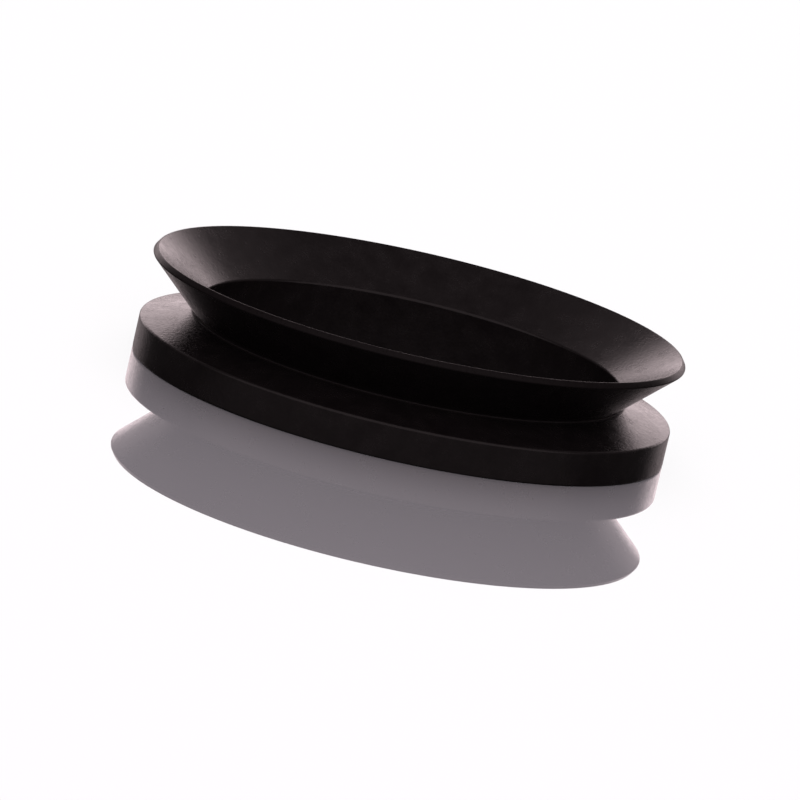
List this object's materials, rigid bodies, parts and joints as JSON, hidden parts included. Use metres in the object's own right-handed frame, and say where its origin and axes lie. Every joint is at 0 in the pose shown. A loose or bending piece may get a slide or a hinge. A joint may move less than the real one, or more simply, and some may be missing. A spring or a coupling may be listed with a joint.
{
  "type": "v-ring seal",
  "caption": "Moulded rubber ring whose straight body grips a turning shaft and whose hinged conical lip runs on a flat face beside it.",
  "frame": {"origin": "on the ring's axis, in the plane of its back face", "axes": "+Z along the shaft's axis, from the back face towards the lip; X and Y across the ring"},
  "size_m": [0.046, 0.046, 0.0089],
  "materials": {
    "rubber": "matte"
  },
  "bodies": {
    "root": {"v_ring": "rubber"}
  },
  "joints": []
}
